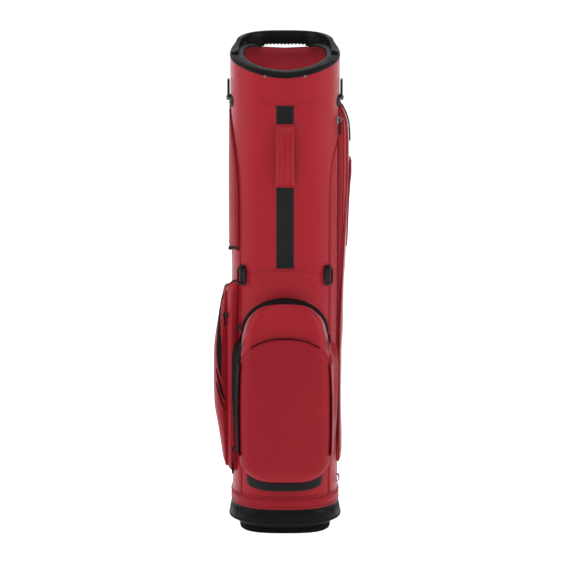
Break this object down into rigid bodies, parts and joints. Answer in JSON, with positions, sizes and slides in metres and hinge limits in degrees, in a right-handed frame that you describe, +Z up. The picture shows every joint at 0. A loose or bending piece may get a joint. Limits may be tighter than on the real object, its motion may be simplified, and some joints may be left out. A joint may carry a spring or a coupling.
{
  "type": "golf stand bag",
  "caption": "Golf stand bag with a divided mouth, sewn pockets, strap rings, grab handles and two legs that a tipping foot pushes out.",
  "frame": {"origin": "on the ground, at the middle of the foot's flat underside, with the bag upright and the legs folded", "axes": "+Z up along the bag, +Y to the side that the legs swing out on, -Y to the side with the lift handle and ball pocket, +X to the right of somebody who looks along +Y"},
  "size_m": [0.2431, 0.3045, 0.866],
  "materials": {
    "red_fabric": "satin woven polyester",
    "black_fabric": "plain webbing and mesh",
    "black_plastic": "fine moulded grain",
    "black_rubber": "matt",
    "grey_plastic": "smooth",
    "aluminium": "satin anodised",
    "steel": "bright"
  },
  "bodies": {
    "bag": {"apparel_pocket": "red_fabric", "apparel_side_pocket": "red_fabric", "ball_pocket": "red_fabric", "ball_pocket_front": "red_fabric", "ball_zip_gusset": "black_fabric", "base_band": "red_fabric", "base_cup": "black_plastic", "base_strap": "black_fabric", "cuff_handle": "black_plastic", "cuff_rivet_left": "grey_plastic", "cuff_rivet_right": "grey_plastic", "divider_bars": "black_fabric", "divider_sheets": "black_fabric", "foot_hinge_pin": "steel", "front_panel": "red_fabric", "left_lower_pocket": "red_fabric", "left_outer_pocket": "red_fabric", "left_panel": "red_fabric", "left_upper_pocket": "red_fabric", "left_upper_zip": "black_fabric", "leg_bracket": "black_plastic", "leg_left_pin": "steel", "leg_right_pin": "steel", "lift_handle": "red_fabric", "rear_panel": "red_fabric", "right_panel": "red_fabric", "side_tab": "red_fabric", "spine_strap": "black_fabric", "stay_rod_left": "grey_plastic", "stay_rod_right": "grey_plastic", "strap_ring_lower_left_keeper": "black_fabric", "strap_ring_lower_right_keeper": "black_fabric", "strap_ring_upper_left_keeper": "black_fabric", "strap_ring_upper_right_keeper": "black_fabric", "top_cuff": "black_plastic"},
    "foot": {"foot_plate": "black_rubber"},
    "leg_left": {"leg_left_head": "black_plastic", "leg_left_tube": "aluminium", "leg_left_tip": "black_rubber", "leg_left_clip": "black_plastic"},
    "rod_left": {"push_rod_left": "steel"},
    "ring_upper_left": {"strap_ring_upper_left": "black_plastic"},
    "ring_lower_left": {"strap_ring_lower_left": "black_plastic"},
    "leg_right": {"leg_right_head": "black_plastic", "leg_right_tube": "aluminium", "leg_right_tip": "black_rubber", "leg_right_clip": "black_plastic"},
    "rod_right": {"push_rod_right": "steel"},
    "ring_upper_right": {"strap_ring_upper_right": "black_plastic"},
    "ring_lower_right": {"strap_ring_lower_right": "black_plastic"},
    "apparel_slider": {"apparel_slider": "grey_plastic"},
    "apparel_pull": {"apparel_pull": "black_fabric"},
    "left_outer_slider": {"left_outer_slider": "grey_plastic"},
    "left_outer_pull": {"left_outer_pull": "black_fabric"},
    "ball_side_slider": {"ball_side_slider": "grey_plastic"},
    "ball_side_pull": {"ball_side_pull": "black_fabric"},
    "ball_top_slider": {"ball_top_slider": "grey_plastic"},
    "ball_top_pull": {"ball_top_pull": "black_fabric"}
  },
  "joints": [
    {"name": "foot_hinge", "type": "hinge", "parent": "bag", "child": "foot", "pos_m": [0, 0.04, 0.02], "axis": [1, 0, 0], "range_deg": [0, 20]},
    {"name": "leg_left_hinge", "type": "hinge", "parent": "bag", "child": "leg_left", "pos_m": [-0.05, 0.124, 0.765], "axis": [0.8988, 0.4384, 0], "range_deg": [0, 26.5]},
    {"name": "rod_left_foot_pivot", "type": "hinge", "parent": "foot", "child": "rod_left", "pos_m": [-0.03, 0.118, 0.0155], "axis": [-0.9915, -0.1284, 0.0218], "range_deg": [0, 28.5]},
    {"name": "leg_right_hinge", "type": "hinge", "parent": "bag", "child": "leg_right", "pos_m": [0.05, 0.124, 0.765], "axis": [0.8988, -0.4384, 0], "range_deg": [0, 26.5]},
    {"name": "rod_right_foot_pivot", "type": "hinge", "parent": "foot", "child": "rod_right", "pos_m": [0.03, 0.118, 0.0155], "axis": [-0.9915, 0.1284, -0.0218], "range_deg": [0, 28.5]},
    {"name": "strap_ring_upper_left_hinge", "type": "hinge", "parent": "bag", "child": "ring_upper_left", "pos_m": [-0.0991, -0.01028, 0.766], "axis": [0.0311, -0.9995, 0], "range_deg": [0, 140]},
    {"name": "strap_ring_lower_left_hinge", "type": "hinge", "parent": "bag", "child": "ring_lower_left", "pos_m": [-0.07654, -0.07938, 0.473], "axis": [-0.6206, 0.7841, 0], "range_deg": [0, 140]},
    {"name": "strap_ring_upper_right_hinge", "type": "hinge", "parent": "bag", "child": "ring_upper_right", "pos_m": [0.0991, -0.01028, 0.766], "axis": [0.0311, 0.9995, 0], "range_deg": [0, 140]},
    {"name": "strap_ring_lower_right_hinge", "type": "hinge", "parent": "bag", "child": "ring_lower_right", "pos_m": [0.07654, -0.07938, 0.473], "axis": [-0.6206, -0.7841, 0], "range_deg": [0, 140]},
    {"name": "apparel_zip", "type": "slide", "parent": "bag", "child": "apparel_slider", "axis": [0, 0, 1], "range_m": [-0.45, 0]},
    {"name": "apparel_pull_hinge", "type": "hinge", "parent": "apparel_slider", "child": "apparel_pull", "pos_m": [0.09639, -0.04705, 0.731], "axis": [-0.27, -0.9629, 0], "range_deg": [0, 150]},
    {"name": "left_outer_zip", "type": "slide", "parent": "bag", "child": "left_outer_slider", "axis": [0, 0, 1], "range_m": [-0.225, 0]},
    {"name": "left_outer_pull_hinge", "type": "hinge", "parent": "left_outer_slider", "child": "left_outer_pull", "pos_m": [-0.10686, -0.05091, 0.385], "axis": [-0.2688, 0.9632, 0], "range_deg": [0, 150]},
    {"name": "ball_side_zip", "type": "slide", "parent": "bag", "child": "ball_side_slider", "axis": [0, 0, 1], "range_m": [0, 0.155]},
    {"name": "ball_side_pull_hinge", "type": "hinge", "parent": "ball_side_slider", "child": "ball_side_pull", "pos_m": [-0.092, -0.09, 0.152], "axis": [0, 1, 0], "range_deg": [0, 150]},
    {"name": "ball_top_zip", "type": "hinge", "parent": "bag", "child": "ball_top_slider", "pos_m": [0, -0.0751, 0.3611], "axis": [0, 0.8572, 0.515], "range_deg": [0, 156]},
    {"name": "ball_top_pull_hinge", "type": "hinge", "parent": "ball_top_slider", "child": "ball_top_pull", "pos_m": [-0.08308, -0.08035, 0.36984], "axis": [0, 0.8572, 0.515], "range_deg": [0, 150]}
  ],
  "couplings": [
    {"joint": "leg_left_hinge", "follows": "foot_hinge", "ratio": 1.3},
    {"joint": "leg_right_hinge", "follows": "foot_hinge", "ratio": 1.3},
    {"joint": "rod_left_foot_pivot", "follows": "foot_hinge", "ratio": 1.3971},
    {"joint": "rod_right_foot_pivot", "follows": "foot_hinge", "ratio": 1.3971}
  ]
}
